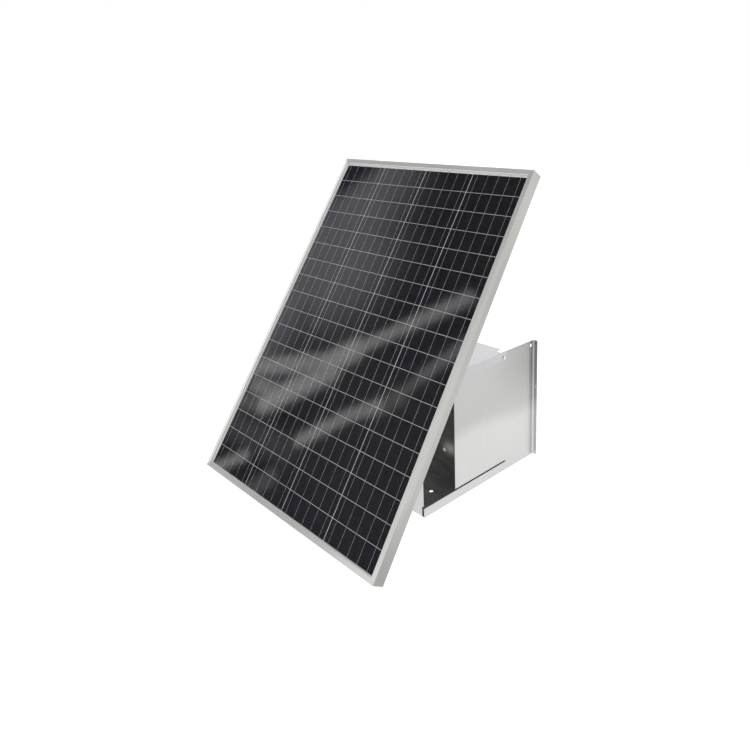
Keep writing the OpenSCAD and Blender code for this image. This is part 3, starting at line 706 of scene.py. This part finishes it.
def add_battery_details():
    """Filler plugs in their raised border, and a coloured ring under each post."""
    low, high = local_box("battery_case")
    bx, by, top = (low.x + high.x) / 2, (low.y + high.y) / 2, high.z + BATTERY_COVER_H

    def place(a, b, h):
        return at(bx + a, by + b, top + h)

    bm = bmesh.new()
    frame_ring(bm, round_rect(176, 34, 6, 0, 20), round_rect(170, 28, 4, 0, 20), -0.3, 1.0, place)
    for k in range(6):
        a = 27 * (k - 2.5)
        lathe(bm, [(0, -0.3), (10, -0.3), (10, 1.2), (9.2, 2.0), (7, 2.0), (6.4, 1.1), (0, 1.1)],
              place, a, 20)
        prism(bm, round_rect(12.6, 2, 0.6, a, 20), 0.9, 1.9, place)
    piece_from(bm, "battery_plugs", "housing", "black_plastic", 0.25)

    post_low, post_high = local_box("battery_posts")
    b = (post_low.y + post_high.y) / 2 - by
    for name, slot_name, post_x in (("plus_ring", "red_plastic", post_low.x + POST_R),
                                    ("minus_ring", "grey_plastic", post_high.x - POST_R)):
        a = post_x - bx
        bm = bmesh.new()
        frame_ring(bm, circle(12, a, b), circle(6.9, a, b), -0.3, 1.6, place)
        piece_from(bm, name, "housing", slot_name, 0.4)


def add_module_details():
    """Ribbon tails above the top row, washers, and what is moulded and screwed on the junction box."""
    pitch = CELL_PITCH_X / RIBBONS
    foot, tip = CELLS_TOP - 0.6, CELLS_TOP + 4
    bm = bmesh.new()
    for k in range(CELL_COLS * RIBBONS):
        u = -CELLS_HALF_W + (k + 0.5) * pitch
        prism(bm, [(u - 0.5, foot), (u + 0.5, foot), (u + 0.5, tip - 0.6), (u, tip), (u - 0.5, tip - 0.6)],
              RIBBON_Z, RIBBON_Z + 0.2, on_panel)
    piece_from(bm, "ribbon_tails", "lid_and_module", "silver_ribbon", 0)

    def behind(a, b, h):
        return on_panel(a, b, -h)

    bm = bmesh.new()
    for side in (-1, 1):
        for y in FOOT_BOLT_Y:
            def foot(a, b, h, x=side * BRACKET_BOLT_X, y=y):
                return at(x + a, y + b, WALL_H + 4 + h)
            frame_ring(bm, circle(8.5, sides=32), circle(5, sides=32), -0.2, 0.9, foot)
        for v in RAIL_V:
            for u, lift in ((BRACKET_BOLT_X, 0.4), (PANEL_W / 2 - RAIL_END, 0.0)):
                frame_ring(bm, circle(8.5, side * u, v, 32), circle(5, side * u, v, 32),
                           lift - 0.2, lift + 0.9, behind)
    piece_from(bm, "bolt_washers", "lid_and_module", "zinc_fastener", 0.2)

    bm = bmesh.new()
    frame_ring(bm, round_rect(116, 76, 4, 0, JUNCTION_V), round_rect(110, 70, 3, 0, JUNCTION_V),
               -1.0, -0.1, behind)
    for k in range(5):
        prism(bm, round_rect(70, 2.4, 1, 0, JUNCTION_V + 8 * (k - 2)), -1.0, -0.15, behind)
    piece_from(bm, "junction_ribs", "lid_and_module", "black_plastic", 0.25)
    bm = bmesh.new()
    for a in (-48, 48):
        for b in (-28, 28):
            lathe(bm, [(0, -1.0), (4, -1.0), (4, -0.4), (3.2, -0.1), (0, -0.1)],
                  behind, a, JUNCTION_V + b, 24)
    piece_from(bm, "junction_screws", "lid_and_module", "zinc_fastener", 0)

    def down(a, b, h):
        return on_panel(a, GLAND_V - h, GLAND_W + b)

    bm = bmesh.new()
    for a in (-35, 35):
        lathe(bm, [(0, 0.6), (2.2, 0.6), (4.6, 1.0), (5.2, 2.4), (2.55, 2.6), (2.55, 14), (0, 14)],
              down, a, 0, 24)
    piece_from(bm, "gland_plugs", "lid_and_module", "black_plastic", 0)


def add_slot_shade_strips():
    """Black rubber strips inside the side walls, behind the slots above the lips, put there as painted
    shade so the slots look dark.
    """
    profile = [(0, 17), (0.8, 17), (0.8, 32), (0.3, 32.6), (0, 32)]
    front, rear = 103, 287.5
    for name, side in (("slot_shade_strip_left", -1), ("slot_shade_strip_right", 1)):
        def place(a, b, h, side=side):
            return at(side * (HALF_W - SHEET_T - 0.9 + a), h, b)

        bm = bmesh.new()
        prism(bm, profile, front, rear, place)
        piece_from(bm, name, "housing", "gasket_rubber", 0)


add_energizer_details()
add_controller_details()
add_battery_details()
add_module_details()
add_slot_shade_strips()


# ---- stage and light -------------------------------------------------------
def add_floor():
    """Plain pale floor, bright enough to leave no shadow."""
    s = Shader("floor")
    tone = s.vary(s.noise(3, 2), 0.985, 1.0)
    colour = s.tint((0.4, 0.4, 0.4), tone)
    size = 9.0
    corners = [(-size, -size, 0), (size, -size, 0), (size, size, 0), (-size, size, 0)]
    floor = add_mesh("floor", corners, [(0, 1, 2, 3)],
                     s.surface(base_color=colour, roughness=0.8, specular_ior_level=0.1,
                               emission_color=(1, 1, 1), emission_strength=0.85))
    floor.location.z = -0.0004


def add_area(name, place, aim, size, power):
    """Soft rectangular light aimed at a point."""
    data = bpy.data.lights.new(name, "AREA")
    data.shape = "RECTANGLE"
    data.size, data.size_y = size
    data.energy = power
    light = bpy.data.objects.new(name, data)
    light.location = place
    light.rotation_euler = (Vector(aim) - Vector(place)).to_track_quat("-Z", "Y").to_euler()
    light.visible_camera = False
    bpy.context.scene.collection.objects.link(light)


# soft light strips on the reflector, in columns and rows from the module's top left as the camera sees
# them mirrored: start, end, half width in columns, strength and tint; a negative strength is a dark patch
COOL = (0.97, 0.94, 1.02)
PLAIN = (1.0, 0.995, 0.99)
STRIPS = [
    ((0.82, -3.0), (0.82, 6.0), 1.12, 1.1, COOL),
    ((1.1, 5.8), (0.9, 6.2), 1.14, 1.13, COOL),
    ((0.0, 6.0), (-0.5, 10.2), 1.1, 1.15, COOL),
    ((-0.3, 12.9), (1.5, 11.1), 0.17, 2.4, PLAIN),
    ((0.2, 13.5), (0.65, 13.4), 0.17, 2.0, PLAIN),
    ((0.6, 14.1), (1.8, 11.3), 0.2, 2.9, PLAIN),
    ((1.64, 11.0), (2.12, 9.9), 0.2, 3.2, PLAIN),
    ((2.12, 9.9), (3.8, 6.1), 0.118, 2.6, PLAIN),
    ((0.0, 14.5), (0.65, 14.35), 0.15, 0.95, PLAIN),
    ((1.75, 14.9), (2.5, 12.9), 0.11, 2.8, PLAIN),
    ((2.5, 12.9), (3.0, 11.9), 0.11, 2.8, PLAIN),
    ((3.0, 12.0), (3.3, 11.2), 0.16, 1.1, PLAIN),
    ((3.3, 11.2), (3.55, 10.0), 0.09, 1.3, PLAIN),
    ((3.55, 10.0), (4.1, 7.9), 0.1, 1.8, PLAIN),
    ((0.1, 15.9), (1.6, 15.6), 0.25, 0.42, PLAIN),
    ((0.1, 18.2), (0.72, 16.8), 0.1, 2.1, PLAIN),
    ((1.15, 18.2), (1.5, 17.0), 0.16, 0.8, COOL),
    ((3.0, 13.5), (3.0, 19.0), 1.6, 0.14, COOL),
    ((0.0, 1.0), (0.5, -0.3), 0.36, -0.93, PLAIN),
]
CARD_DISTANCE = 1.5
CARD_REST = 0.06
CARD_MARGIN = 0.6


def glow(u, v):
    """Colour of the reflector where the camera sees it mirrored at column u, row v. It fades to the white
    of the studio towards its border."""
    row = CELL_PITCH_Y / CELL_PITCH_X
    light = [CARD_REST] * 3
    for (u0, v0), (u1, v1), width, strength, colour in STRIPS:
        du, dv = u1 - u0, (v1 - v0) * row
        pu, pv = u - u0, (v - v0) * row
        t = min(max((pu * du + pv * dv) / (du * du + dv * dv), 0), 1)
        gap = math.hypot(pu - t * du, pv - t * dv) / width
        share = math.exp(-(gap ** 3))
        if strength < 0:
            light = [c * (1 + strength * share) for c in light]
        else:
            light = [max(c, CARD_REST + strength * share * tone) for c, tone in zip(light, colour)]
    beyond = max(-u, u - CELL_COLS, -v / 3, (v - CELL_ROWS) / 3) - CARD_MARGIN / 2
    fade = min(max(beyond / (CARD_MARGIN / 2), 0), 1)
    return (*(c + fade * (1 - c) for c in light), 1.0)


def add_reflector():
    """A dark reflector with a few soft light strips, seen only in glossy reflections of the glass."""
    middle = on_panel(0, PANEL_L / 2, GLASS_TOP)

    def mirrored(point):
        ray = (point - EYE).normalized()
        return ray - 2 * ray.dot(PANEL_NORMAL) * PANEL_NORMAL

    facing = mirrored(middle)
    centre = middle + facing * CARD_DISTANCE
    columns, rows, margin = 72, 108, CARD_MARGIN
    vertices, shine = [], []
    for j in range(rows + 1):
        for i in range(columns + 1):
            u = -margin + (CELL_COLS + 2 * margin) * i / columns
            v = -3 * margin + (CELL_ROWS + 6 * margin) * j / rows
            point = on_panel((u - CELL_COLS / 2) * CELL_PITCH_X,
                             CELL_FOOT + (CELL_ROWS - v) * CELL_PITCH_Y, GLASS_TOP)
            ray = mirrored(point)
            vertices.append(point + ray * ((centre - point).dot(facing) / ray.dot(facing)))
            shine.extend(glow(u, v))
    faces = [(j * (columns + 1) + i, j * (columns + 1) + i + 1,
              (j + 1) * (columns + 1) + i + 1, (j + 1) * (columns + 1) + i)
             for j in range(rows) for i in range(columns)]
    s = Shader("reflector")
    light = s.add("Attribute", out="Color", attribute_name="shine")
    card = add_mesh("reflector", vertices, faces, s.close(s.add("Emission", {"Color": light})))
    card.data.attributes.new("shine", "FLOAT_COLOR", "POINT").data.foreach_set("color", shine)
    for ray_kind in ("camera", "diffuse", "shadow", "transmission", "volume_scatter"):
        setattr(card, "visible_" + ray_kind, False)


def add_world():
    """White studio all round."""
    world = bpy.data.worlds.new("studio")
    world.use_nodes = True
    background = world.node_tree.nodes["Background"]
    background.inputs["Color"].default_value = (1, 1, 1, 1)
    background.inputs["Strength"].default_value = 1.0
    bpy.context.scene.world = world


add_floor()
add_reflector()
add_world()
add_area("key", (-1.6, -2.2, 2.6), (0, 0, 0.3), (1.6, 1.6), 8)
bpy.context.scene.view_settings.view_transform = "Standard"
